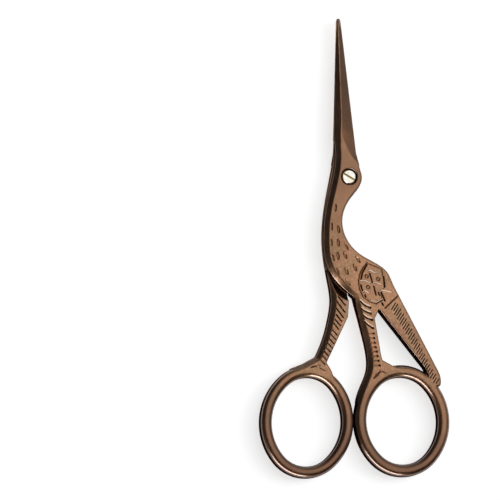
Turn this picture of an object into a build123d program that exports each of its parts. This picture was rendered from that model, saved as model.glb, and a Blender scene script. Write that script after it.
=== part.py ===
from build123d import *
from math import cos, hypot, pi, sin
import os

# Stork embroidery scissors in three pieces, closed and lying on a table.
# Millimetres. The pivot axis is X = 0, Y = 0 and the table is Z = 0.
# X runs across the stork towards its tail, Y along the blades to their points.

# Thickness of the two halves, which meet at the parting plane
plate_thickness = 2.08
running_gap = 0.04
rear_inner_z = plate_thickness
front_inner_z = rear_inner_z + running_gap
full_thickness = front_inner_z + plate_thickness
middle_z = full_thickness / 2

# Blades: reaches run from the pivot axis towards the points
blade_reach = 39.4
spine_reach = 9.1
edge_reach = 2.9
middle_reach = 15.0
left_shift = 3.70
right_shift = 2.60
point_shift = 2.36
point_width = 0.92
nose_length = 0.55
nose_inset = 0.27
heel_length = 3.20
ridge_inset = 1.65
ridge_inset_point = 0.30
spine_wall = 1.25
spine_wall_point = 0.35
edge_wall_heel = 1.20
edge_wall_middle = 0.70
edge_wall_point = 0.25
heel_thickness = 2.02
middle_thickness = 1.85
point_thickness = 0.80
edge_inset = 0.30
edge_inset_point = 0.08
hollow_depth = 0.07

# Figure of the stork: pivot line to the tail's side, pivot axis to the tail's end
figure_width = 25.0
figure_length = 50.0

# Finger rings
ring_rounding = 1.30
ring_rounding_flats = 3
ring_fullness = 1.04
front_ring_band = 3.08
front_opening_width = 17.8
front_opening_length = 21.5
front_ring_lean = 2.5
rear_ring_band = 2.94
rear_opening_width = 17.5
rear_opening_length = 21.9
rear_ring_lean = -4.5
ring_meeting_shift = 1.30
ring_meeting_gap = 0.20

# Edges: a wide bevel on the breast side of the bird, a small one on its back
breast_bevel_width = 1.20
breast_bevel_depth = 0.85
back_bevel = 0.35
closing_gap = 0.45

# Pivot screw and its seat
screw_head_diameter = 3.30
screw_head_height = 1.00
screw_head_sink = 0.15
screw_shank_diameter = 2.20
screw_thread_diameter = 1.90
screw_slot_width = 0.50
screw_slot_depth = 0.45
screw_slot_turn = -30.0
screw_edge_break = 0.12
screw_end_inset = 0.10
counterbore_diameter = 4.00
shank_clearance = 0.04
seat_clearance = 0.04
thread_clearance = 0.02

# One overrun for every cut
overrun = 3.0
beside_steps = 8

# Outlines as shares of the figure's width and length
front_ring_drop_share = 0.926
rear_ring_drop_share = 0.938
back_shares = [
    (0.132, 0.000),
    (0.084, -0.064),
    (0.014, -0.108),
    (-0.066, -0.212),
    (-0.027, -0.302),
    (0.114, -0.382),
    (0.184, -0.402),
    (0.290, -0.430),
    (0.385, -0.468),
]
back_corner_share = (0.456, -0.540)
breast_shares = [
    (-0.144, 0.030),
    (-0.182, -0.060),
    (-0.242, -0.210),
    (-0.252, -0.300),
    (-0.244, -0.386),
    (-0.192, -0.472),
    (-0.072, -0.546),
]
crotch_share = (0.050, -0.598)
front_leg_outer_shares = [(0.086, -0.673), (0.132, -0.762), (0.182, -0.872)]
window_corner_share = (0.300, -0.652)
front_leg_inner_shares = [(0.256, -0.700), (0.316, -0.868)]
rear_back_shares = [
    (0.130, 0.000),
    (0.082, -0.064),
    (0.012, -0.108),
    (-0.066, -0.212),
    (-0.062, -0.330),
    (-0.035, -0.460),
]
rear_crotch_share = (0.000, -0.594)
rear_breast_shares = [
    (-0.208, -0.079),
    (-0.248, -0.208),
    (-0.258, -0.297),
    (-0.248, -0.386),
    (-0.201, -0.524),
    (-0.178, -0.614),
    (-0.198, -0.693),
    (-0.248, -0.793),
]
rear_knee_share = (-0.013, -0.694)
rear_leg_top_shares = [
    (-0.028, -0.612),
    (-0.092, -0.596),
    (-0.151, -0.567),
    (-0.182, -0.526),
    (-0.214, -0.485),
    (-0.290, -0.400),
]

# Feet and tail end as shares of the ring's outer half width and half length
front_foot_outer_shares = [(-0.731, 0.913), (-0.850, 0.622), (-0.958, 0.317)]
front_foot_inner_shares = [(-0.422, 1.080), (-0.224, 0.989), (-0.090, 0.940), (0.010, 0.880)]
front_foot_root_shares = [(-0.300, 0.815), (-0.670, 0.555)]
tail_end_shares = [(0.765, 0.889), (0.834, 0.760), (0.807, 0.636)]
tail_inner_share = (0.474, 0.953)
tail_root_share = (0.620, 0.600)
rear_foot_outer_shares = [(0.190, 1.166), (-0.083, 1.038), (-0.355, 0.945)]
rear_foot_inner_shares = [(0.412, 1.057), (0.491, 0.957), (0.535, 0.880), (0.640, 0.600)]
rear_foot_root_shares = [(0.450, 0.740), (0.100, 0.855)]


def on_figure(share):
    return (share[0] * figure_width, share[1] * figure_length)


def on_ring(share, ring):
    centre_x, centre_y, half_width, half_length = ring
    return (centre_x + share[0] * half_width, centre_y + share[1] * half_length)


def ring_place(side, opening_width, opening_length, band, drop_share):
    """A ring's centre and outer half sizes; side is 1 on the right, -1 on the left."""
    half_width = opening_width / 2 + band
    half_length = opening_length / 2 + band
    centre_x = ring_meeting_shift + side * (ring_meeting_gap / 2 + half_width)
    centre_y = -drop_share * figure_length - half_length
    return (centre_x, centre_y, half_width, half_length)


front_ring = ring_place(
    1, front_opening_width, front_opening_length, front_ring_band, front_ring_drop_share
)
rear_ring = ring_place(
    -1, rear_opening_width, rear_opening_length, rear_ring_band, rear_ring_drop_share
)


def oval(half_width, half_length):
    """A closed line of four tangent arcs, longest along Y."""
    end_radius = ring_fullness * half_width**2 / half_length
    side_radius = (half_width**2 + half_length**2 - 2 * half_length * end_radius) / (
        2 * (half_width - end_radius)
    )
    end_centre = half_length - end_radius
    spread = side_radius - end_radius
    joint_x = end_radius * (side_radius - half_width) / spread
    joint_y = end_centre + end_radius * end_centre / spread
    with BuildLine() as line:
        ThreePointArc((-joint_x, joint_y), (0, half_length), (joint_x, joint_y))
        ThreePointArc((joint_x, joint_y), (half_width, 0), (joint_x, -joint_y))
        ThreePointArc((joint_x, -joint_y), (0, -half_length), (-joint_x, -joint_y))
        ThreePointArc((-joint_x, -joint_y), (-half_width, 0), (-joint_x, joint_y))
    return line.wires()[0]


def ring_corners(band):
    """A band's section about its middle, each corner rounded by a few flats."""
    corners = []
    for turn, side_z, side_x in ((0, 1, 1), (1, -1, 1), (2, -1, -1), (3, 1, -1)):
        centre_z = side_z * (full_thickness / 2 - ring_rounding)
        centre_x = side_x * (band / 2 - ring_rounding)
        for step in range(ring_rounding_flats + 1):
            angle = (turn + step / ring_rounding_flats) * pi / 2
            corners.append(
                (centre_z + ring_rounding * cos(angle), centre_x + ring_rounding * sin(angle))
            )
    return corners


def finger_ring(ring, band, lean):
    """A finger ring of one rounded section all round, leaning about its own centre."""
    centre_x, centre_y, half_width, half_length = ring
    path = oval(half_width - band / 2, half_length - band / 2)
    path = path.rotate(Axis.Z, lean).translate((centre_x, centre_y, middle_z))
    with BuildPart() as solid:
        with BuildSketch(Plane(origin=path @ 0, x_dir=(0, 0, 1), z_dir=path % 0)):
            Polygon(*ring_corners(band), align=None)
        sweep(path=path)
    return solid.part


def side_line(reach, root_shift, root_reach, point_side):
    """Where the left or right line of the closed blades is, at a reach."""
    point_x = -point_shift + point_side * point_width / 2
    share = (reach - root_reach) / (blade_reach - root_reach)
    return root_shift + share * (point_x - root_shift)


def left_line(reach):
    return side_line(reach, -left_shift, spine_reach, -1)


def right_line(reach):
    return side_line(reach, right_shift, edge_reach, 1)


def blade_section(spine, edge, wall, inset, height, edge_wall, hollow, inner_z, up):
    """A cross-section from spine to cutting edge, on the parting side flat or hollow."""
    run = Vector(*edge) - Vector(*spine)
    plane = Plane(origin=(spine[0], spine[1], inner_z), x_dir=run, z_dir=(run.Y, -run.X, 0))
    width = run.length
    with BuildSketch(plane) as section:
        with BuildLine():
            Polyline(
                (0, 0), (0, up * wall), (inset, up * height), (width, up * edge_wall), (width, 0)
            )
            if hollow > 0:
                ThreePointArc((width, 0), (width / 2, up * hollow), (0, 0))
            else:
                Line((width, 0), (0, 0))
        make_face()
    return section.sketch


def blade(spine_line, edge_line, inner_z, up):
    """A tapered blade with a ridge near its spine, ground out at a slant towards the head."""
    inward = 1 if spine_line(0) < edge_line(0) else -1
    root_spine = (spine_line(spine_reach), spine_reach)
    root_edge = (edge_line(edge_reach), edge_reach)
    heel_spine = (spine_line(spine_reach + heel_length), spine_reach + heel_length)
    heel_edge = (
        edge_line(edge_reach + heel_length) - inward * edge_inset, edge_reach + heel_length
    )
    slant = hypot(root_edge[0] - root_spine[0], root_edge[1] - root_spine[1])
    slant_share = slant / abs(root_edge[0] - root_spine[0])
    middle_edge = edge_line(middle_reach) - inward * edge_inset
    point_reach = blade_reach - nose_length
    point_edge = edge_line(point_reach) - inward * edge_inset_point
    nose_spine = spine_line(blade_reach) + inward * nose_inset
    nose_edge = edge_line(blade_reach) - inward * nose_inset
    with BuildPart() as solid:
        add(
            blade_section(
                root_spine, root_edge, spine_wall, ridge_inset * slant_share,
                plate_thickness, plate_thickness, 0, inner_z, up,
            )
        )
        add(
            blade_section(
                heel_spine, heel_edge, spine_wall, ridge_inset * slant_share,
                heel_thickness, edge_wall_heel, 0, inner_z, up,
            )
        )
        add(
            blade_section(
                (spine_line(middle_reach), middle_reach), (middle_edge, middle_reach),
                spine_wall, ridge_inset, middle_thickness, edge_wall_middle,
                hollow_depth, inner_z, up,
            )
        )
        add(
            blade_section(
                (spine_line(point_reach), point_reach), (point_edge, point_reach),
                spine_wall_point, ridge_inset_point, point_thickness, edge_wall_point,
                0, inner_z, up,
            )
        )
        add(
            blade_section(
                (nose_spine, blade_reach), (nose_edge, blade_reach),
                spine_wall_point, (point_width - 2 * nose_inset) / 2, point_thickness,
                edge_wall_point, 0, inner_z, up,
            )
        )
        loft(ruled=True)
    return solid.part


def bevel(solid, curves, width, depth):
    """Bevel the top face along the edges that lie nearest to the middles of these curves."""
    face = solid.faces().filter_by(Axis.Z).sort_by(Axis.Z)[-1]
    middles = [curve @ 0.5 for curve in curves]
    edges = [
        face.edges().sort_by_distance((point.X, point.Y, full_thickness))[0] for point in middles
    ]
    chamfer(edges, length=width, length2=depth, reference=face)


def beside(curve, gap):
    """A curve that runs beside another, off to the left as it goes."""
    places = [step / beside_steps for step in range(beside_steps + 1)]
    return Spline(
        *[curve @ place + Vector(-(curve % place).Y, (curve % place).X) * gap for place in places]
    )


with BuildPart() as front_half:
    with BuildSketch(Plane.XY.offset(middle_z)):
        with BuildLine():
            spine_root = (left_line(spine_reach), spine_reach)
            edge_root = (right_line(edge_reach), edge_reach)
            Line(spine_root, edge_root)
            right_side = Line(
                (right_line(blade_reach), blade_reach), edge_root, mode=Mode.PRIVATE
            )
            tail_side = Line(on_figure(back_corner_share), on_ring(tail_end_shares[0], front_ring))
            back = Spline(
                edge_root,
                *[on_figure(share) for share in back_shares],
                on_figure(back_corner_share),
                tangents=(right_side % 0, tail_side % 0),
                tangent_scalars=(1, 1),
            )
            TangentArc(tail_side @ 1, on_ring(tail_end_shares[-1], front_ring), tangent=tail_side % 1)
            Polyline(
                on_ring(tail_end_shares[-1], front_ring),
                on_ring(tail_root_share, front_ring),
                on_ring(tail_inner_share, front_ring),
            )
            tail_inside = Line(
                on_ring(tail_inner_share, front_ring), on_figure(window_corner_share)
            )
            leg_inside = Polyline(
                on_figure(window_corner_share),
                *[on_figure(share) for share in front_leg_inner_shares],
                *[on_ring(share, front_ring) for share in front_foot_inner_shares],
            )
            Polyline(
                on_ring(front_foot_inner_shares[-1], front_ring),
                *[on_ring(share, front_ring) for share in front_foot_root_shares],
                on_ring(front_foot_outer_shares[-1], front_ring),
            )
            leg_outside = Spline(
                *[on_ring(share, front_ring) for share in reversed(front_foot_outer_shares)],
                *[on_figure(share) for share in reversed(front_leg_outer_shares)],
                on_figure(crotch_share),
            )
            breast = Spline(
                on_figure(crotch_share),
                *[on_figure(share) for share in reversed(breast_shares)],
                spine_root,
            )
        make_face()
    extrude(amount=full_thickness - middle_z)
    bevel(front_half, [breast, leg_outside], breast_bevel_width, breast_bevel_depth)
    bevel(front_half, [back, tail_side], back_bevel, back_bevel)
    mirror(about=Plane.XY.offset(middle_z))
    add(blade(left_line, right_line, front_inner_z, 1))
    add(finger_ring(front_ring, front_ring_band, front_ring_lean))

    # Room for the rear half, under the head, neck and breast
    with BuildSketch() as rear_room:
        with BuildLine():
            rear_edge = Spline(
                on_figure(rear_crotch_share),
                *[on_figure(share) for share in reversed(rear_back_shares[3:])],
                mode=Mode.PRIVATE,
            )
            room_edge = beside(rear_edge, -closing_gap)
            Polyline(
                room_edge @ 1,
                (figure_width, (room_edge @ 1).Y),
                (figure_width, blade_reach + overrun),
                (-figure_width, blade_reach + overrun),
                (-figure_width, (room_edge @ 0).Y - overrun),
                ((room_edge @ 0).X, (room_edge @ 0).Y - overrun),
                room_edge @ 0,
            )
        make_face()
    extrude(amount=front_inner_z, mode=Mode.SUBTRACT)

    # Seat of the screw
    head_z = full_thickness - screw_head_sink - screw_head_height
    with Locations((0, 0, full_thickness)):
        CounterBoreHole(
            radius=screw_shank_diameter / 2 + shank_clearance,
            counter_bore_radius=counterbore_diameter / 2,
            counter_bore_depth=screw_head_sink + screw_head_height + seat_clearance,
        )

with BuildPart() as rear_half:
    with BuildSketch(Plane.XY.offset(middle_z)):
        with BuildLine():
            spine_root = (right_line(spine_reach), spine_reach)
            edge_root = (left_line(edge_reach), edge_reach)
            Line(edge_root, spine_root)
            shoulder = (right_line(edge_reach), edge_reach)
            Line(spine_root, shoulder)
            rear_back = Spline(
                shoulder,
                *[on_figure(share) for share in rear_back_shares],
                on_figure(rear_crotch_share),
            )
            rear_leg_inside = Polyline(
                on_figure(rear_crotch_share),
                on_figure(rear_knee_share),
                *[on_ring(share, rear_ring) for share in rear_foot_inner_shares],
            )
            Polyline(
                on_ring(rear_foot_inner_shares[-1], rear_ring),
                *[on_ring(share, rear_ring) for share in rear_foot_root_shares],
                on_ring(rear_foot_outer_shares[-1], rear_ring),
            )
            collar_low = Line(
                on_ring(rear_foot_outer_shares[2], rear_ring),
                on_ring(rear_foot_outer_shares[1], rear_ring),
            )
            collar_high = Line(
                on_ring(rear_foot_outer_shares[1], rear_ring),
                on_ring(rear_foot_outer_shares[0], rear_ring),
            )
            rear_breast = Spline(
                on_ring(rear_foot_outer_shares[0], rear_ring),
                *[on_figure(share) for share in reversed(rear_breast_shares)],
                edge_root,
            )
        make_face()
    extrude(amount=full_thickness - middle_z)
    bevel(
        rear_half,
        [rear_breast, collar_high, collar_low],
        breast_bevel_width,
        breast_bevel_depth,
    )
    mirror(about=Plane.XY.offset(middle_z))
    add(blade(right_line, left_line, rear_inner_z, -1))
    add(finger_ring(rear_ring, rear_ring_band, rear_ring_lean))

    # Room for the front half, over the head, neck and breast; the leg slopes up from it
    with BuildLine(mode=Mode.PRIVATE):
        front_edge = Spline(
            on_figure(crotch_share),
            *[on_figure(share) for share in reversed(breast_shares[4:])],
            mode=Mode.PRIVATE,
        )
        low_edge = beside(front_edge, closing_gap)
        high_edge = Spline(*[on_figure(share) for share in rear_leg_top_shares])
    with BuildPart(mode=Mode.SUBTRACT):
        for room_edge, room_z in ((low_edge, rear_inner_z), (high_edge, full_thickness)):
            with BuildSketch(Plane.XY.offset(room_z)):
                with BuildLine():
                    add(room_edge)
                    Polyline(
                        room_edge @ 1,
                        (-figure_width, (room_edge @ 1).Y),
                        (-figure_width, blade_reach + overrun),
                        (figure_width, blade_reach + overrun),
                        (figure_width, (room_edge @ 0).Y),
                        room_edge @ 0,
                    )
                make_face()
        loft(ruled=True)

    with Locations((0, 0, rear_inner_z)):
        Hole(radius=screw_thread_diameter / 2 + thread_clearance)

with BuildPart() as pivot_screw:
    with BuildSketch(Plane.XY.offset(head_z)):
        Circle(screw_head_diameter / 2)
    extrude(amount=screw_head_height)
    chamfer(pivot_screw.faces().sort_by(Axis.Z)[-1].edges(), length=screw_edge_break)
    with BuildSketch(Plane.XY.offset(full_thickness - screw_head_sink - screw_slot_depth)):
        SlotOverall(
            screw_head_diameter + overrun, screw_slot_width, rotation=screw_slot_turn
        )
    extrude(amount=screw_slot_depth + overrun, mode=Mode.SUBTRACT)
    with BuildSketch(Plane.XY.offset(rear_inner_z)):
        Circle(screw_shank_diameter / 2)
    extrude(amount=head_z - rear_inner_z)
    with BuildSketch(Plane.XY.offset(screw_end_inset)):
        Circle(screw_thread_diameter / 2)
    extrude(amount=rear_inner_z - screw_end_inset)

os.makedirs("parts", exist_ok=True)
front_half.part.label = "front_half"
export_step(front_half.part, "parts/front_half.step")
rear_half.part.label = "rear_half"
export_step(rear_half.part, "parts/rear_half.step")
pivot_screw.part.label = "pivot_screw"
export_step(pivot_screw.part, "parts/pivot_screw.step")
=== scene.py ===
# The looks of a pair of stork embroidery scissors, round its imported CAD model.
# Lengths are millimetres in the CAD frame until a finished mesh is scaled to metres, but
# materials, lamps and the floor are in metres from the start.
from math import atan2, cos, hypot, pi, radians, sin

import bmesh
import bpy
import numpy as np
from mathutils import Matrix, Vector


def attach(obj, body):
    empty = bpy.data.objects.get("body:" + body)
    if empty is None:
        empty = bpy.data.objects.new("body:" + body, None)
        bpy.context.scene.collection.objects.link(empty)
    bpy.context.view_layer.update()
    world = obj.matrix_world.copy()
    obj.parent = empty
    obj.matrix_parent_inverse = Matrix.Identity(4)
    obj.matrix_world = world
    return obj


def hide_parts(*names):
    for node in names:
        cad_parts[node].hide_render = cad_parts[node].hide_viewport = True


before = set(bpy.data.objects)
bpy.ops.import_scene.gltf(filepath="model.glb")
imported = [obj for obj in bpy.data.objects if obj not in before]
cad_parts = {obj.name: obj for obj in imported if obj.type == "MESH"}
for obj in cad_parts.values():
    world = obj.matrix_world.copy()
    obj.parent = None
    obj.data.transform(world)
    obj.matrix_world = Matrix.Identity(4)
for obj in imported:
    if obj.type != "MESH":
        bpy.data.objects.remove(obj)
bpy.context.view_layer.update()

# One millimetre in metres, and the full thickness of the closed scissors
MM = 0.001
FULL = 4.2

# Finger rings, from the same values as the solids: centre, outer half sizes, band and lean
RINGS = {
    "front_half": {"centre": (13.38, -60.13), "half": (11.98, 13.83), "band": 3.08, "lean": 2.5},
    "rear_half": {"centre": (-10.49, -60.79), "half": (11.69, 13.89), "band": 2.94, "lean": -4.5},
}
RING_ROUNDING = 1.30
RING_FULLNESS = 1.04
ARC_STEPS = 48
CORNER_STEPS = 8

# Mesh: made even, smoothed in passes, and thinned away from the carving
VOXEL = 0.10
SMOOTH_PASSES = 7
SMOOTH_SHARE = 0.5
FACE_LIMIT = 190000
KEPT_MARGIN = 3
KEPT_WEIGHT = 10.0

# Blades are smoothed less, their points not at all, and their sides move out to make up for it
BLADE_START = 9.0
BLADE_SMOOTH = 0.25
TIP_START = 36.0
TIP_GAIN = 0.11
TIP_GAIN_FROM = 12.0
TIP_GAIN_FULL = 36.0
SIDE_SHARPNESS = 4

# Feet and the tail's end are smoothed longer, so they blend into the rings
FOOT_PASSES = 26
FOOT_BLEND = 3.0
FEET = [(7.4, -47.6), (-5.9, -48.0), (20.6, -50.6)]

# The breast bevel of the front half runs out where belly and leg meet
CROTCH = (1.25, -29.9)
CROTCH_REACH = 6.0
CROTCH_SHARE = 0.25
BEVEL_DEPTH = 0.85

# Carving is cut within OUTER_FACE of the top and the bottom. It fades between FLAT_FULL and
# FLAT_FROM, which say how level a face is, and marks fade with MARK_GAIN. Cuts deeper than
# DARK_FROM look dark
OUTER_FACE = 1.3
FLAT_FROM = 0.45
FLAT_FULL = 0.85
MARK_GAIN = 2
DARK_FROM = 0.13
LEVEL_MARGIN = 1e-4


def ring_path(ring):
    """Points and outward directions along the middle of a ring's band."""
    half_width = ring["half"][0] - ring["band"] / 2
    half_length = ring["half"][1] - ring["band"] / 2
    end_radius = RING_FULLNESS * half_width**2 / half_length
    side_radius = (half_width**2 + half_length**2 - 2 * half_length * end_radius) / (
        2 * (half_width - end_radius)
    )
    end_centre = half_length - end_radius
    side_centre = side_radius - half_width
    joint = atan2(end_centre, side_centre)
    arcs = [
        ((-side_centre, 0), side_radius, -joint, joint),
        ((0, end_centre), end_radius, joint, pi - joint),
        ((side_centre, 0), side_radius, pi - joint, pi + joint),
        ((0, -end_centre), end_radius, pi + joint, 2 * pi - joint),
    ]
    lean = radians(ring["lean"])
    turn = np.array([[cos(lean), -sin(lean)], [sin(lean), cos(lean)]])
    points = []
    outward = []
    for centre, radius, start, end in arcs:
        for step in range(ARC_STEPS):
            angle = start + (end - start) * step / ARC_STEPS
            way = np.array([cos(angle), sin(angle)])
            points.append(turn @ (np.array(centre) + radius * way) + np.array(ring["centre"]))
            outward.append(turn @ way)
    return np.array(points), np.array(outward)


def ring_section(band):
    """A band's section with truly round corners: outward and upward of its middle."""
    section = []
    for turn, side_u, side_v in ((0, 1, 1), (1, -1, 1), (2, -1, -1), (3, 1, -1)):
        for step in range(CORNER_STEPS + 1):
            angle = (turn + step / CORNER_STEPS) * pi / 2
            section.append(
                (
                    side_u * (band / 2 - RING_ROUNDING) + RING_ROUNDING * cos(angle),
                    side_v * (FULL / 2 - RING_ROUNDING) + RING_ROUNDING * sin(angle),
                )
            )
    return section


def ring_mesh(ring):
    """Corners and faces of a whole finger ring."""
    points, outward = ring_path(ring)
    section = ring_section(ring["band"])
    count = len(section)
    corners = []
    for point, way in zip(points, outward):
        for out, up in section:
            place = point + way * out
            corners.append((place[0], place[1], FULL / 2 + up))
    faces = []
    rows = len(points)
    for row in range(rows):
        here = row * count
        there = (row + 1) % rows * count
        for column in range(count):
            after = (column + 1) % count
            faces.append((here + column, here + after, there + after, there + column))
    return corners, faces


def remeshed(name, source, ring):
    """A closed even mesh of a half with its finger ring, in millimetres."""
    corners = [tuple(v.co / MM) for v in source.data.vertices]
    faces = [tuple(p.vertices) for p in source.data.polygons]
    ring_corners, ring_faces = ring_mesh(ring)
    start = len(corners)
    corners += ring_corners
    faces += [tuple(start + i for i in face) for face in ring_faces]
    mesh = bpy.data.meshes.new(name)
    mesh.from_pydata(corners, [], faces)
    piece = bpy.data.objects.new(name, mesh)
    bpy.context.scene.collection.objects.link(piece)
    remesh = piece.modifiers.new("even", "REMESH")
    remesh.mode = "VOXEL"
    remesh.voxel_size = VOXEL
    bake(piece)
    return piece


def bake(piece):
    """Turn a piece's modifiers into its mesh."""
    graph = bpy.context.evaluated_depsgraph_get()
    graph.update()
    made = bpy.data.meshes.new_from_object(piece.evaluated_get(graph))
    old = piece.data
    piece.modifiers.clear()
    piece.data = made
    bpy.data.meshes.remove(old)


def places(mesh):
    """Where each corner of a mesh is."""
    corners = np.zeros(len(mesh.vertices) * 3, np.float32)
    mesh.vertices.foreach_get("co", corners)
    return corners.reshape(-1, 3).astype(float)


def put(mesh, corners):
    """Move the corners of a mesh."""
    mesh.vertices.foreach_set("co", corners.astype(np.float32).ravel())
    mesh.update()


def normals(mesh):
    """Which way the surface faces at each corner."""
    found = np.zeros(len(mesh.vertices) * 3, np.float32)
    mesh.vertices.foreach_get("normal", found)
    return found.reshape(-1, 3).astype(float)


def edge_ends(mesh):
    """The first and the second corner of every edge."""
    ends = np.zeros(len(mesh.edges) * 2, np.int32)
    mesh.edges.foreach_get("vertices", ends)
    return ends.reshape(-1, 2).T


def run_out(mesh):
    """Make the breast bevel shallower towards the place where belly and leg meet."""
    corners = places(mesh)
    reach = np.hypot(corners[:, 0] - CROTCH[0], corners[:, 1] - CROTCH[1]) / CROTCH_REACH
    reach = np.clip(reach, 0, 1)
    share = CROTCH_SHARE + (1 - CROTCH_SHARE) * reach**2 * (3 - 2 * reach)
    offset = corners[:, 2] - FULL / 2
    height = np.abs(offset)
    bevel_foot = FULL / 2 - BEVEL_DEPTH
    lifted = np.where(
        height < bevel_foot,
        height * (FULL / 2 - BEVEL_DEPTH * share) / bevel_foot,
        FULL / 2 - (FULL / 2 - height) * share,
    )
    corners[:, 2] = FULL / 2 + np.sign(offset) * lifted
    put(mesh, corners)


def soften(mesh):
    """Round the edges: less on the blades, whose points keep their width, more at the feet."""
    first, second = edge_ends(mesh)
    corners = places(mesh)
    degree = np.bincount(np.concatenate([first, second]), minlength=len(corners))
    all_over = SMOOTH_SHARE * np.where(corners[:, 1] > BLADE_START, BLADE_SMOOTH, 1.0)
    all_over[corners[:, 1] > TIP_START] = 0
    near_feet = np.zeros(len(corners))
    for foot in FEET:
        reach = np.hypot(corners[:, 0] - foot[0], corners[:, 1] - foot[1])
        near_feet = np.maximum(near_feet, np.clip(2 - reach / FOOT_BLEND, 0, 1))
    grow = TIP_GAIN * np.clip((corners[:, 1] - TIP_GAIN_FROM) / (TIP_GAIN_FULL - TIP_GAIN_FROM), 0, 1)
    corners[:, 0] += grow * np.tanh(SIDE_SHARPNESS * normals(mesh)[:, 0])
    for step in range(FOOT_PASSES):
        share = all_over if step < SMOOTH_PASSES else SMOOTH_SHARE * near_feet
        total = np.zeros_like(corners)
        for axis in range(3):
            after = np.bincount(first, corners[second, axis], len(corners))
            before = np.bincount(second, corners[first, axis], len(corners))
            total[:, axis] = after + before
        corners += share[:, None] * (total / degree[:, None] - corners)
    put(mesh, corners)


def along(points, spots):
    """Distance of each spot from a line through points."""
    best = np.full(len(spots), np.inf)
    for start, end in zip(points[:-1], points[1:]):
        start = np.array(start)
        run = np.array(end) - start
        share = np.clip(((spots - start) @ run) / (run @ run), 0, 1)
        gap = spots - start - share[:, None] * run
        best = np.minimum(best, np.hypot(gap[:, 0], gap[:, 1]))
    return best


def groove(spots, points, width, depth):
    """A round-bottomed cut along a line."""
    share = along(points, spots) / (width / 2)
    return depth * np.clip(1 - share**2, 0, 1)


def dimple(spots, centre, length, width, turn, depth):
    """A sunken oval; its length lies along Y before it is turned."""
    angle = radians(turn)
    offset = spots - np.array(centre)
    across = offset[:, 0] * cos(angle) + offset[:, 1] * sin(angle)
    up = -offset[:, 0] * sin(angle) + offset[:, 1] * cos(angle)
    share = np.sqrt((across / (width / 2)) ** 2 + (up / (length / 2)) ** 2)
    return depth * np.clip((1 - share) / DIMPLE_WALL, 0, 1)


def inside(spots, corners):
    """Which spots lie inside a closed outline."""
    found = np.zeros(len(spots), bool)
    for (ax, ay), (bx, by) in zip(corners, corners[1:] + corners[:1]):
        crosses = (ay > spots[:, 1]) != (by > spots[:, 1])
        where = ax + (spots[:, 1] - ay) / (by - ay if by != ay else 1e-9) * (bx - ax)
        found ^= crosses & (spots[:, 0] < where)
    return found


# Feather dashes on the neck and breast: centre, turn from upright, width
DASHES = [
    ((-3.42, -7.8), -4, 0.50),
    ((-4.35, -12.5), 2, 0.42),
    ((-2.74, -13.1), 8, 0.72),
    ((-4.45, -16.4), 6, 0.42),
    ((-2.79, -16.4), 9, 0.72),
    ((-0.75, -17.3), 30, 0.50),
    ((-4.05, -20.1), 12, 0.42),
    ((-2.84, -19.7), 6, 0.76),
    ((-1.08, -19.5), 24, 0.76),
    ((2.16, -20.5), 34, 0.72),
    ((1.38, -22.5), 24, 0.76),
    ((-2.94, -23.5), 22, 0.46),
    ((-0.73, -23.4), 24, 0.76),
    ((-0.36, -26.2), 38, 0.66),
]
DASH_LENGTH = 2.1
DASH_DEPTH = 0.18
DIMPLE_WALL = 0.42

# Wing panel: its sunken ground, the lines round it, deep cuts, raised bars and curls
PANEL = [
    (4.67, -21.3), (3.37, -22.8), (2.68, -24.2), (2.34, -25.9), (2.61, -27.8), (3.48, -29.6),
    (5.20, -30.85), (6.75, -31.33), (8.35, -30.4), (8.0, -28.4), (8.9, -27.4), (8.6, -24.6),
    (8.2, -22.6),
]
PANEL_DEPTH = 0.08
PANEL_RIM = 0.30
PANEL_LINE = 0.26
PANEL_CUTS = [
    [(4.50, -21.2), (3.27, -22.7), (2.58, -24.1), (2.24, -25.9), (2.51, -27.8), (3.40, -29.7),
     (5.20, -30.95), (6.75, -31.4)],
    [(6.75, -31.33), (8.35, -30.4)],
]
DEEP_CUTS = [
    [(4.44, -21.7), (3.25, -23.8), (2.91, -25.6)],
    [(2.91, -26.7), (3.09, -27.65), (3.55, -28.5)],
    [(3.87, -29.1), (4.10, -29.7)],
    [(5.08, -23.8), (5.77, -26.1)],
    [(6.11, -27.0), (6.68, -29.2)],
    [(7.25, -28.6), (7.59, -29.2)],
    [(8.57, -24.6), (8.85, -27.2)],
    [(7.98, -28.5), (8.92, -30.6)],
    [(8.16, -31.1), (8.44, -31.7)],
]
RAISED_BARS = [
    [(4.56, -23.4), (5.04, -23.0), (6.34, -23.6), (7.36, -23.5)],
    [(2.87, -25.6), (4.05, -25.7), (5.15, -26.2)],
    [(5.99, -26.2), (6.91, -26.1), (8.16, -26.6)],
    [(3.32, -28.5), (3.83, -28.1), (5.01, -28.7)],
    [(7.59, -28.4), (8.12, -27.9), (10.45, -28.4)],
    [(5.42, -30.5), (6.79, -31.0), (8.20, -30.1)],
]
SWIRLS = [(4.33, -24.6), (7.25, -25.2), (4.69, -27.3)]
DEEP_WIDTH = 0.38
DEEP_DEPTH = 0.34
FINE_WIDTH = 0.32
FINE_DEPTH = 0.20
BAR_WIDTH = 0.30
BAR_HEIGHT = 0.14
SWIRL_SIZE = 0.80
SWIRL_WIDTH = 0.26
SWIRL_DEPTH = 0.13

# Tail barbs in two staggered files, below the line that closes the wing. A painted highlight runs beside
# each, set off by a share of its width
TAIL_LINE = [(12.32, -29.2), (8.96, -32.4)]
BARB_ROW = [(11.2, -31.7), (14.3, -36.9), (17.4, -42.4), (19.6, -46.9), (22.0, -50.4)]
BARB_COUNT = 32
BARB_REACH = (0.95, 0.65)
BARB_STEP = 0.42
BARB_LEAN = 58.0
BARB_WIDTH = 0.26
BARB_DEPTH = 0.17
BARB_GLEAM = 0.28
GLEAM_SHIFT = 1.2
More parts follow.
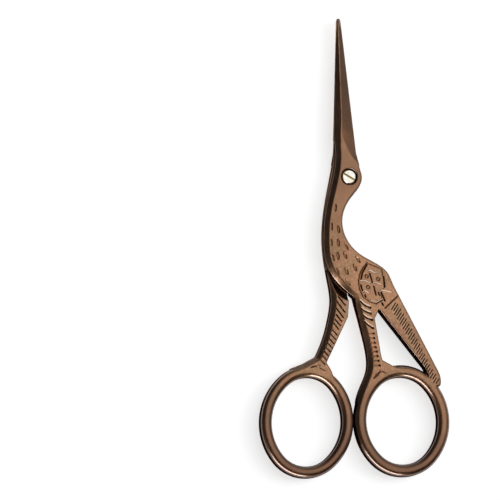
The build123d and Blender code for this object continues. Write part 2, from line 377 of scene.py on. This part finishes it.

# Front leg: thigh cuts with a painted highlight above each, then a row of dots, and the foot's toes
THIGH_CUTS = [
    [(2.80, -30.9), (3.83, -31.8), (5.13, -32.35)],
    [(3.03, -32.6), (3.94, -33.3), (5.31, -33.8)],
    [(3.41, -34.2), (4.28, -34.9), (5.65, -35.4)],
    [(3.83, -35.8), (4.74, -36.7), (5.88, -37.4)],
]
RIDGE_STEP = 0.46
THIGH_WIDTH = 0.36
BLOB = 0.62
SHIN_DOTS = [
    (6.11, -38.7), (6.22, -39.85), (6.43, -41.0), (6.61, -42.1),
    (6.86, -43.2), (7.07, -44.3), (7.30, -45.45), (7.59, -46.6),
]
DOT_SIZE = 0.54
SHIN_BAR = 1.2
SHIN_BAR_DROP = 0.1
SHIN_BAR_DEPTH = FINE_DEPTH / 3
FRONT_TOES = [
    [(6.61, -49.0), (7.71, -48.2)],
    [(6.11, -49.8), (7.36, -48.7)],
    [(7.82, -47.9), (9.12, -48.4)],
]

# Rear leg: long slanted cuts on the thigh, then rungs down to the foot's toes
LEG_CUTS = [
    [(-2.80, -29.7), (-1.10, -31.8)],
    [(-3.18, -30.9), (-1.24, -33.5)],
    [(-3.30, -32.6), (-1.54, -34.9)],
    [(-3.30, -34.2), (-2.00, -35.8)],
    [(-3.60, -35.4), (-2.29, -36.9)],
    [(-3.89, -36.4), (-2.75, -37.8)],
]
RUNG_FIRST = (-3.68, -38.6)
RUNG_LAST = (-6.68, -46.0)
RUNG_COUNT = 8
RUNG_REACH = (0.62, -0.66)
RUNG_TAPER = 0.25
REAR_TOES = [
    [(-9.65, -47.4), (-8.28, -47.0)],
    [(-7.36, -47.5), (-6.22, -48.1)],
    [(-7.75, -46.7), (-7.40, -46.9)],
]


class Carving:
    """Depth of cut, and brightness of high spots rubbed bright and of painted highlights, at each spot of a
    face.
    """

    def __init__(self, spots):
        self.spots = spots
        self.depth = np.zeros(len(spots))
        self.wear_and_highlight = np.zeros(len(spots))

    def cut(self, depth):
        """Cut to a depth, where it isn't already deeper."""
        self.depth = np.maximum(self.depth, depth)

    def line(self, points, width, depth):
        """Cut a groove."""
        self.cut(groove(self.spots, points, width, depth))

    def paint_highlight(self, points, width, share):
        """Paint a highlight along a line that stands between cuts."""
        self.wear_and_highlight = np.maximum(self.wear_and_highlight, groove(self.spots, points, width, share))

    def raise_bar(self, points, width, height, ground):
        """Lift a thin bar above the ground round it; its top is rubbed bright and carries a painted
        highlight.
        """
        lift = groove(self.spots, points, width, 1.0)
        held = lift > 0
        self.depth[held] = np.minimum(self.depth[held], ground - height * lift[held])
        self.wear_and_highlight = np.maximum(self.wear_and_highlight, lift)


def carve_wing(face):
    """The sunken panel on the wing, with its ornament."""
    panel = inside(face.spots, PANEL)
    rim = along(PANEL + PANEL[:1], face.spots)
    face.depth[panel] = PANEL_DEPTH * np.clip(rim[panel] / PANEL_RIM, 0, 1)
    for cut in PANEL_CUTS:
        face.line(cut, PANEL_LINE, FINE_DEPTH)
    for centre in SWIRLS:
        offset = np.hypot(face.spots[:, 0] - centre[0], face.spots[:, 1] - centre[1])
        share = np.abs(offset - SWIRL_SIZE / 2) / (SWIRL_WIDTH / 2)
        face.cut(np.where(share < 1, PANEL_DEPTH + SWIRL_DEPTH * (1 - share**2), 0))
    for cut in DEEP_CUTS:
        face.line(cut, DEEP_WIDTH, DEEP_DEPTH)
    for bar in RAISED_BARS:
        face.raise_bar(bar, BAR_WIDTH, BAR_HEIGHT, PANEL_DEPTH)


def carve_tail(face):
    """The line that closes the wing, and the tail's barbs."""
    face.line(TAIL_LINE, FINE_WIDTH, FINE_DEPTH)
    row = np.array(BARB_ROW)
    run = np.concatenate([[0], np.cumsum(np.hypot(*np.diff(row, axis=0).T))])
    way = np.array([cos(radians(BARB_LEAN)), sin(radians(BARB_LEAN))])
    for step in range(BARB_COUNT):
        share = step / (BARB_COUNT - 1)
        middle = np.array([np.interp(share * run[-1], run, row[:, axis]) for axis in (0, 1)])
        reach = BARB_REACH[0] + share * (BARB_REACH[1] - BARB_REACH[0])
        middle = middle + way * BARB_STEP * (step % 2 - 0.5)
        barb = [middle - way * reach, middle + way * reach]
        face.line(barb, BARB_WIDTH, BARB_DEPTH)
        beside = np.array([-way[1], way[0]]) * BARB_WIDTH * GLEAM_SHIFT
        face.paint_highlight([point + beside for point in barb], BARB_WIDTH, BARB_GLEAM)


def carve_front_leg(face):
    """The right leg's thigh, the dots on its shin, and its toes."""
    for cut in THIGH_CUTS:
        face.line(cut, THIGH_WIDTH, DEEP_DEPTH)
        face.cut(dimple(face.spots, cut[-1], BLOB, BLOB, 0, DEEP_DEPTH))
        face.paint_highlight([(x, y + RIDGE_STEP) for x, y in cut], BAR_WIDTH, 1.0)
    for x, y in SHIN_DOTS:
        face.line([(x - SHIN_BAR, y - SHIN_BAR_DROP), (x, y)], FINE_WIDTH, SHIN_BAR_DEPTH)
        face.cut(dimple(face.spots, (x, y), DOT_SIZE, DOT_SIZE, 0, DEEP_DEPTH))
    for toe in FRONT_TOES:
        face.line(toe, FINE_WIDTH, FINE_DEPTH)


def front_carving(spots):
    """The carving of the stork's figure, its tail and its right leg."""
    face = Carving(spots)
    for centre, turn, width in DASHES:
        face.cut(dimple(spots, centre, DASH_LENGTH, width, turn, DASH_DEPTH))
    carve_wing(face)
    carve_tail(face)
    carve_front_leg(face)
    return face


def rear_carving(spots):
    """The carving of the rear half: its feathers behind the breast, and the left leg."""
    face = Carving(spots)
    for centre, turn, width in DASHES:
        face.cut(dimple(spots, centre, DASH_LENGTH, width, turn, DASH_DEPTH))
    for cut in LEG_CUTS:
        face.line(cut, DEEP_WIDTH, DEEP_DEPTH)
    for step in range(RUNG_COUNT):
        share = step / (RUNG_COUNT - 1)
        middle = np.array(RUNG_FIRST) + share * (np.array(RUNG_LAST) - np.array(RUNG_FIRST))
        reach = np.array(RUNG_REACH) * (1 - RUNG_TAPER * share)
        face.line([middle - reach, middle + reach], THIGH_WIDTH, DEEP_DEPTH)
    for toe in REAR_TOES:
        face.line(toe, FINE_WIDTH, FINE_DEPTH)
    return face


def refine(mesh, pattern):
    """Split the edges of the carving on the upper face, which needs a finer mesh."""
    carved = face_marks(mesh, pattern)[2] & (places(mesh)[:, 2] > FULL / 2)
    grid = bmesh.new()
    grid.from_mesh(mesh)
    chosen = [e for e in grid.edges if carved[e.verts[0].index] or carved[e.verts[1].index]]
    bmesh.ops.subdivide_edges(grid, edges=chosen, cuts=1, use_grid_fill=True)
    grid.to_mesh(mesh)
    grid.free()
    mesh.update()


def carve(mesh, pattern):
    """Sink both outer faces by a pattern, which is the same seen through the part."""
    corners = places(mesh)
    up = normals(mesh)[:, 2]
    top = (corners[:, 2] > FULL - OUTER_FACE) & (up > FLAT_FROM)
    low = (corners[:, 2] < OUTER_FACE) & (up < -FLAT_FROM)
    for chosen, side in ((top, -1), (low, 1)):
        share = np.clip((np.abs(up[chosen]) - FLAT_FROM) / (FLAT_FULL - FLAT_FROM), 0, 1)
        corners[chosen, 2] += side * share * pattern(corners[chosen, :2]).depth
    put(mesh, corners)


def face_marks(mesh, pattern):
    """How dark recesses are, how bright rubbed spots and painted highlights are, from 0 to 1, and what is
    carved at all.
    """
    corners = places(mesh)
    flat = np.clip(np.abs(normals(mesh)[:, 2]) * MARK_GAIN, 0, 1)
    outer = (corners[:, 2] > FULL - OUTER_FACE) | (corners[:, 2] < OUTER_FACE)
    recess = np.zeros(len(corners))
    wear_and_highlight = np.zeros(len(corners))
    face = pattern(corners[outer, :2])
    recess[outer] = np.clip((face.depth - DARK_FROM) / (DEEP_DEPTH - DARK_FROM), 0, 1)
    wear_and_highlight[outer] = face.wear_and_highlight
    carved = np.zeros(len(corners), bool)
    level = (face.depth == 0) | (np.abs(face.depth - PANEL_DEPTH) < LEVEL_MARGIN)
    carved[outer] = ~level | (face.wear_and_highlight > 0)
    return recess * flat, wear_and_highlight * flat, carved


def thin_out(piece, pattern):
    """Bring a piece under the face limit, and leave the carving as fine as it is."""
    mesh = piece.data
    triangles = sum(len(p.vertices) - 2 for p in mesh.polygons)
    if triangles <= FACE_LIMIT:
        return
    first, second = edge_ends(mesh)
    kept = face_marks(mesh, pattern)[2]
    for _ in range(KEPT_MARGIN):
        touched = kept.copy()
        touched[first[kept[second]]] = True
        touched[second[kept[first]]] = True
        kept = touched
    group = piece.vertex_groups.new(name="thin")
    group.add([int(i) for i in np.flatnonzero(~kept)], 1.0, "REPLACE")
    fewer = piece.modifiers.new("fewer", "DECIMATE")
    fewer.ratio = FACE_LIMIT / triangles
    fewer.vertex_group = group.name
    fewer.vertex_group_factor = KEPT_WEIGHT
    bake(piece)
    piece.vertex_groups.clear()


def half(name, node, body, pattern, material):
    """A carved half that stands for its CAD node."""
    piece = remeshed(name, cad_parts[node], RINGS[node])
    if node == "front_half":
        run_out(piece.data)
    soften(piece.data)
    refine(piece.data, pattern)
    carve(piece.data, pattern)
    thin_out(piece, pattern)
    for mark, share in zip(("recess", "wear_and_highlight", "carved"), face_marks(piece.data, pattern)):
        stored = piece.data.attributes.new(mark, "FLOAT", "POINT")
        stored.data.foreach_set("value", share.astype(np.float32))
    piece.data.transform(Matrix.Scale(MM, 4))
    piece.data.shade_smooth()
    piece.data.materials.append(material)
    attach(piece, body)
    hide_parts(node)
    return piece


class Nodes:
    """Short calls to build the node tree of one material or world."""

    def __init__(self, holder, shader="Principled BSDF"):
        holder.use_nodes = True
        self.holder = holder
        self.tree = holder.node_tree
        self.shader = self.tree.nodes[shader]

    def set(self, socket, value):
        """Link a socket to another node's output, or give it a value of its own."""
        if isinstance(value, bpy.types.NodeSocket):
            self.tree.links.new(value, socket)
        else:
            socket.default_value = value

    def add(self, kind, settings=None, values=None):
        """A node with its settings and the values of its inputs, by name or number."""
        made = self.tree.nodes.new(kind)
        for key, value in (settings or {}).items():
            setattr(made, key, value)
        for key, value in (values or {}).items():
            self.set(made.inputs[key], value)
        return made

    def into(self, name, value):
        """Give an input of the shader its value."""
        self.set(self.shader.inputs[name], value)

    def math(self, operation, *values):
        made = self.add("ShaderNodeMath", {"operation": operation}, dict(enumerate(values)))
        return made.outputs[0]

    def coordinates(self, kind):
        return self.add("ShaderNodeTexCoord").outputs[kind]

    def axis(self, vector, number):
        """One of a vector's three values."""
        return self.add("ShaderNodeSeparateXYZ", None, {"Vector": vector}).outputs[number]

    def attribute(self, name):
        """A value that the mesh holds at each corner."""
        return self.add("ShaderNodeAttribute", {"attribute_name": name}).outputs["Fac"]

    def spread(self, value, low, high, to_low=0.0, to_high=1.0):
        """A value mapped from one range to another, and kept inside it."""
        made = self.add(
            "ShaderNodeMapRange",
            None,
            {"Value": value, "From Min": low, "From Max": high, "To Min": to_low, "To Max": to_high},
        )
        return made.outputs[0]

    def noise(self, scale, detail=3.0, stretch=(1, 1, 1)):
        """Even noise in the piece's own space; scale counts per metre."""
        place = self.coordinates("Object")
        place = self.add("ShaderNodeMapping", None, {"Vector": place, "Scale": stretch}).outputs[0]
        made = self.add("ShaderNodeTexNoise", None, {"Vector": place, "Scale": scale, "Detail": detail})
        return made.outputs["Fac"]

    def mix(self, share, first, second):
        """A tone between two tones."""
        made = self.add("ShaderNodeMix", {"data_type": "RGBA"})
        for number, value in ((0, share), (6, first), (7, second)):
            self.set(made.inputs[number], (*value, 1.0) if isinstance(value, tuple) else value)
        return made.outputs[2]

    def bump(self, height, strength):
        """A normal that follows a height, as if that were BUMP_DISTANCE deep."""
        values = {"Height": height, "Strength": strength, "Distance": BUMP_DISTANCE}
        return self.add("ShaderNodeBump", None, values).outputs[0]


# Noise scales count per metre and places along the scissors are metres, as materials read them
BUMP_DISTANCE = 0.00002
FINE_DETAIL = 2.0

# Bronze plating: its two tones, then blotches over it. Each blotch has its tone, its noise's
# scale, where it starts and is full on that noise, and its strength
PLATING_DARK = (0.262, 0.130, 0.066)
PLATING_PALE = (0.418, 0.204, 0.103)
PLATING_SCALE = 90.0
PLATING_RANGE = (0.35, 0.65)
BLOTCHES = [
    ((0.250, 0.160, 0.068), 300.0, 0.40, 0.70, 0.55),
    ((0.360, 0.140, 0.080), 520.0, 0.50, 0.75, 0.50),
]

# Darker ends, the rings and then the head with the blades: tone, start and full place, strength
DARK_ENDS = [
    ((0.115, 0.048, 0.028), -0.050, -0.068, 0.60),
    ((0.150, 0.074, 0.048), -0.010, -0.001, 0.30),
]

# Pale flecks between the neck and the feet
FLECK_TONE = (0.640, 0.370, 0.230)
FLECK_SCALE = 2200.0
FLECK_RANGE = (0.50, 0.68)
FLECK_STRENGTH = 0.45
FLECK_TOP = (-0.008, -0.020)
FLECK_END = (-0.056, -0.046)

# Painted shade on the side walls, by how steep a face stands: 1 is level. The painted shade is darker from
# the legs down
WALL_RANGE = (0.25, 0.92)
WALL_SHADE_TONE = (0.040, 0.020, 0.014)
WALL_SHADE_STRENGTH = 0.82
LOW_WALL_SHADE_TONE = (0.018, 0.008, 0.005)
LOW_WALL_SHADE_STRENGTH = 0.92
LOW_WALL_PLACE = (-0.034, -0.050)
# Reflection tint of level faces, and a dark one on the walls that dims their reflections as painted shade
LEVEL_GLANCE = (0.9, 0.7, 0.6)
WALL_SHADE_GLANCE = (0.10, 0.055, 0.035)

# Carved recesses, and the high spots beside them, rubbed bright and with a painted highlight
RECESS_TONE = (0.030, 0.014, 0.009)
RECESS_STRENGTH = 0.90
RECESS_ROUGHNESS = 0.2
WEAR_AND_HIGHLIGHT_TONE = (0.950, 0.760, 0.620)
WEAR_AND_HIGHLIGHT_STRENGTH = 0.80

# A clear coat gleams on the rounded edges: none on walls, little on level faces
COAT_WALL = (0.30, 0.55)
COAT_LEVEL = (0.84, 0.97)
COAT_LEAST = 0.2
COAT_IOR = 1.9
COAT_ROUGHNESS = 0.15

# Polishing lines along the scissors, and a fine grain
LINE_SCALE = 2600.0
LINE_STRETCH = (1.0, 0.12, 1.0)
LINE_RANGE = (0.3, 0.7)
BRONZE_ROUGHNESS = (0.28, 0.37)
GRAIN_SCALE = 6000.0
BRONZE_BUMP = 0.12


def bronze():
    """Satin copper-bronze plating: mottled tone, fine polishing lines, dark recesses, painted shade on the
    walls and painted highlights on high spots.
    """
    nodes = Nodes(bpy.data.materials.new("satin_bronze"))
    tone = nodes.mix(nodes.spread(nodes.noise(PLATING_SCALE), *PLATING_RANGE), PLATING_DARK, PLATING_PALE)
    for blotch, scale, start, full, strength in BLOTCHES:
        tone = nodes.mix(nodes.spread(nodes.noise(scale), start, full, 0.0, strength), tone, blotch)
    along_y = nodes.axis(nodes.coordinates("Object"), 1)
    for end, start, full, strength in DARK_ENDS:
        tone = nodes.mix(nodes.spread(along_y, start, full, 0.0, strength), tone, end)
    feathered = nodes.math("MULTIPLY", nodes.spread(along_y, *FLECK_TOP), nodes.spread(along_y, *FLECK_END))
    fleck = nodes.spread(nodes.noise(FLECK_SCALE, FINE_DETAIL), *FLECK_RANGE, 0.0, FLECK_STRENGTH)
    tone = nodes.mix(nodes.math("MULTIPLY", fleck, feathered), tone, FLECK_TONE)

    level = nodes.math("ABSOLUTE", nodes.axis(nodes.coordinates("Normal"), 2))
    # Painted shade: steep side walls are darkened, more from the legs down
    wall_shade = nodes.spread(level, *WALL_RANGE, 1.0, 0.0)
    low = nodes.spread(along_y, *LOW_WALL_PLACE)
    strength = nodes.spread(low, 0.0, 1.0, WALL_SHADE_STRENGTH, LOW_WALL_SHADE_STRENGTH)
    wall_shade_tone = nodes.mix(low, WALL_SHADE_TONE, LOW_WALL_SHADE_TONE)
    tone = nodes.mix(nodes.math("MULTIPLY", wall_shade, strength), tone, wall_shade_tone)

    recess = nodes.attribute("recess")
    tone = nodes.mix(nodes.math("MULTIPLY", recess, RECESS_STRENGTH), tone, RECESS_TONE)
    # Painted highlight beside cuts and on raised bars, whose tops are also rubbed bright
    tone = nodes.mix(nodes.math("MULTIPLY", nodes.attribute("wear_and_highlight"), WEAR_AND_HIGHLIGHT_STRENGTH), tone, WEAR_AND_HIGHLIGHT_TONE)
    nodes.into("Base Color", tone)
    nodes.into("Metallic", 1.0)
    # The walls' reflections are dimmed by a dark tint, as painted shade
    nodes.into("Specular Tint", nodes.mix(wall_shade, LEVEL_GLANCE, WALL_SHADE_GLANCE))

    rounded = nodes.math(
        "MULTIPLY", nodes.spread(level, *COAT_WALL), nodes.spread(level, *COAT_LEVEL, 1.0, COAT_LEAST)
    )
    plain = nodes.math("SUBTRACT", 1.0, nodes.attribute("carved"))
    nodes.into("Coat Weight", nodes.math("MULTIPLY", rounded, plain))
    nodes.into("Coat IOR", COAT_IOR)
    nodes.into("Coat Roughness", COAT_ROUGHNESS)

    lines = nodes.noise(LINE_SCALE, FINE_DETAIL, LINE_STRETCH)
    rough = nodes.spread(lines, *LINE_RANGE, *BRONZE_ROUGHNESS)
    nodes.into("Roughness", nodes.math("ADD", rough, nodes.math("MULTIPLY", recess, RECESS_ROUGHNESS)))
    grain = nodes.math("ADD", lines, nodes.noise(GRAIN_SCALE, FINE_DETAIL))
    nodes.into("Normal", nodes.bump(grain, BRONZE_BUMP))
    return nodes.holder


# Nickel of the screw: its tone and tarnish, and a dark brassy tone painted as shade from the slot's floor
# up
NICKEL_TONE = (0.94, 0.92, 0.86)
TARNISH_TONE = (0.66, 0.57, 0.36)
TARNISH_SCALE = 900.0
TARNISH_RANGE = (0.45, 0.62)
TARNISH_STRENGTH = 0.5
SLOT_SHADE_TONE = (0.34, 0.24, 0.11)
SLOT_HEIGHT = (0.00375, 0.00395)
TURNING_SCALE = 1500.0
TURNING_WAVER = 1.0
NICKEL_ROUGHNESS = (0.20, 0.32)
NICKEL_BUMP = 0.10


def bright():
    """Bright nickel with turning marks, painted a dark brassy shade where the slot cuts below its face."""
    nodes = Nodes(bpy.data.materials.new("bright_nickel"))
    place = nodes.coordinates("Object")
    # Painted shade in the slot: a dark brassy tone below the screw's face
    slot_shade = nodes.spread(nodes.axis(place, 2), *SLOT_HEIGHT, 1.0, 0.0)
    tarnish = nodes.spread(nodes.noise(TARNISH_SCALE), *TARNISH_RANGE, 0.0, TARNISH_STRENGTH)
    nodes.into("Base Color", nodes.mix(slot_shade, nodes.mix(tarnish, NICKEL_TONE, TARNISH_TONE), SLOT_SHADE_TONE))
    nodes.into("Metallic", 1.0)
    turning = nodes.add(
        "ShaderNodeTexWave",
        {"wave_type": "RINGS", "rings_direction": "Z"},
        {"Vector": place, "Scale": TURNING_SCALE, "Distortion": TURNING_WAVER},
    ).outputs["Fac"]
    nodes.into("Roughness", nodes.spread(turning, 0.0, 1.0, *NICKEL_ROUGHNESS))
    nodes.into("Normal", nodes.bump(turning, NICKEL_BUMP))
    return nodes.holder


PAPER_TONE = (0.94, 0.94, 0.94, 1)
PAPER_GLOW = (1, 1, 1, 1)
PAPER_ROUGHNESS = 0.9
PAPER_LIFT = 0.68


def paper():
    """White paper, lifted to plain white for the camera and in reflections; it keeps the shadow."""
    nodes = Nodes(bpy.data.materials.new("paper"))
    nodes.into("Base Color", PAPER_TONE)
    nodes.into("Roughness", PAPER_ROUGHNESS)
    nodes.into("Emission Color", PAPER_GLOW)
    rays = nodes.add("ShaderNodeLightPath").outputs
    seen = nodes.math("MAXIMUM", rays["Is Camera Ray"], rays["Is Glossy Ray"])
    seen = nodes.math("MAXIMUM", seen, rays["Is Transmission Ray"])
    nodes.into("Emission Strength", nodes.math("MULTIPLY", seen, PAPER_LIFT))
    return nodes.holder


metal = bronze()
nickel = bright()
half("carved_front", "front_half", "front", front_carving, metal)
half("carved_rear", "rear_half", "rear", rear_carving, metal)
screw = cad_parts["pivot_screw"]
screw.data.materials.clear()
screw.data.materials.append(nickel)

# Floor, in metres: half its side
FLOOR_REACH = 4.0
floor_corners = [(x * FLOOR_REACH, y * FLOOR_REACH, 0) for x, y in ((-1, -1), (1, -1), (1, 1), (-1, 1))]
floor_mesh = bpy.data.meshes.new("floor")
floor_mesh.from_pydata(floor_corners, [], [(0, 1, 2, 3)])
floor_mesh.materials.append(paper())
floor = bpy.data.objects.new("floor", floor_mesh)
bpy.context.scene.collection.objects.link(floor)

# Camera: the photograph looks down, a little from the left and from below. The anchor is on
# the screw's head, and the view's middle lies left of it and below it
TILT_LEFT = radians(11.0)
TILT_LOW = radians(6.0)
ANCHOR = Vector((0, 0, 4.05))
AIM_RIGHT = -24.46
AIM_UP = -18.07
DISTANCE = 2400.0
FRAME_WIDTH = 123.27
SENSOR = 36.0
CLIP_NEAR = 0.01
CLIP_FAR = 100.0

right = Vector((cos(TILT_LEFT), 0, sin(TILT_LEFT)))
back = Vector(
    (-sin(TILT_LEFT) * cos(TILT_LOW), -cos(TILT_LEFT) * sin(TILT_LOW), cos(TILT_LEFT) * cos(TILT_LOW))
).normalized()
up = back.cross(right)
aim = ANCHOR + right * AIM_RIGHT + up * AIM_UP
camera_data = bpy.data.cameras.new("camera")
camera_data.sensor_width = SENSOR
camera_data.lens = SENSOR * DISTANCE / FRAME_WIDTH
camera_data.clip_start = CLIP_NEAR
camera_data.clip_end = CLIP_FAR
camera = bpy.data.objects.new("camera", camera_data)
bpy.context.scene.collection.objects.link(camera)
facing_photo = Matrix((right, up, back)).transposed().to_4x4()
camera.matrix_world = Matrix.Translation((aim + back * DISTANCE) * MM) @ facing_photo
bpy.context.scene.camera = camera

# Lamps: name, place and size in metres, power in watts, whether they show in reflections and
# whether they light dull surfaces
LAMP_TARGET = Vector((0, -0.02, 0))
LAMPS = [
    ("overhead", (0.44, 0.22, 1.55), (1.2, 1.3), 5.7, True, True),
    ("right", (1.30, 0.20, 0.90), (1.4, 1.4), 1.5, True, True),
    ("low", (-0.45, -1.15, 0.42), (1.5, 0.45), 15.0, True, False),
    ("side", (1.20, 0.25, 0.85), (0.80, 0.80), 5.5, False, True),
]
for name, place, size, power, in_metal, on_paper in LAMPS:
    light = bpy.data.lights.new(name, "AREA")
    light.shape = "RECTANGLE"
    light.size, light.size_y = size
    light.energy = power
    lamp = bpy.data.objects.new(name, light)
    bpy.context.scene.collection.objects.link(lamp)
    lamp.visible_glossy = in_metal
    lamp.visible_diffuse = on_paper
    lamp.location = place
    lamp.rotation_euler = (Vector(place) - LAMP_TARGET).to_track_quat("Z", "Y").to_euler()

# A dark room that is paler towards the wall far behind the scissors
BACK_WALL = (0.30, 0.91, 0.28)
BACK_WALL_RANGE = (0.65, 1.0)
ROOM_TONE = (1, 1, 1, 1)
ROOM_LIGHT = (0.04, 0.45)
world = bpy.data.worlds.new("studio")
bpy.context.scene.world = world
room = Nodes(world, "Background")
towards_wall = room.add(
    "ShaderNodeVectorMath",
    {"operation": "DOT_PRODUCT"},
    {0: room.coordinates("Generated"), 1: BACK_WALL},
).outputs["Value"]
room.into("Color", ROOM_TONE)
room.into("Strength", room.spread(towards_wall, *BACK_WALL_RANGE, *ROOM_LIGHT))

bpy.context.scene.view_settings.view_transform = "Standard"
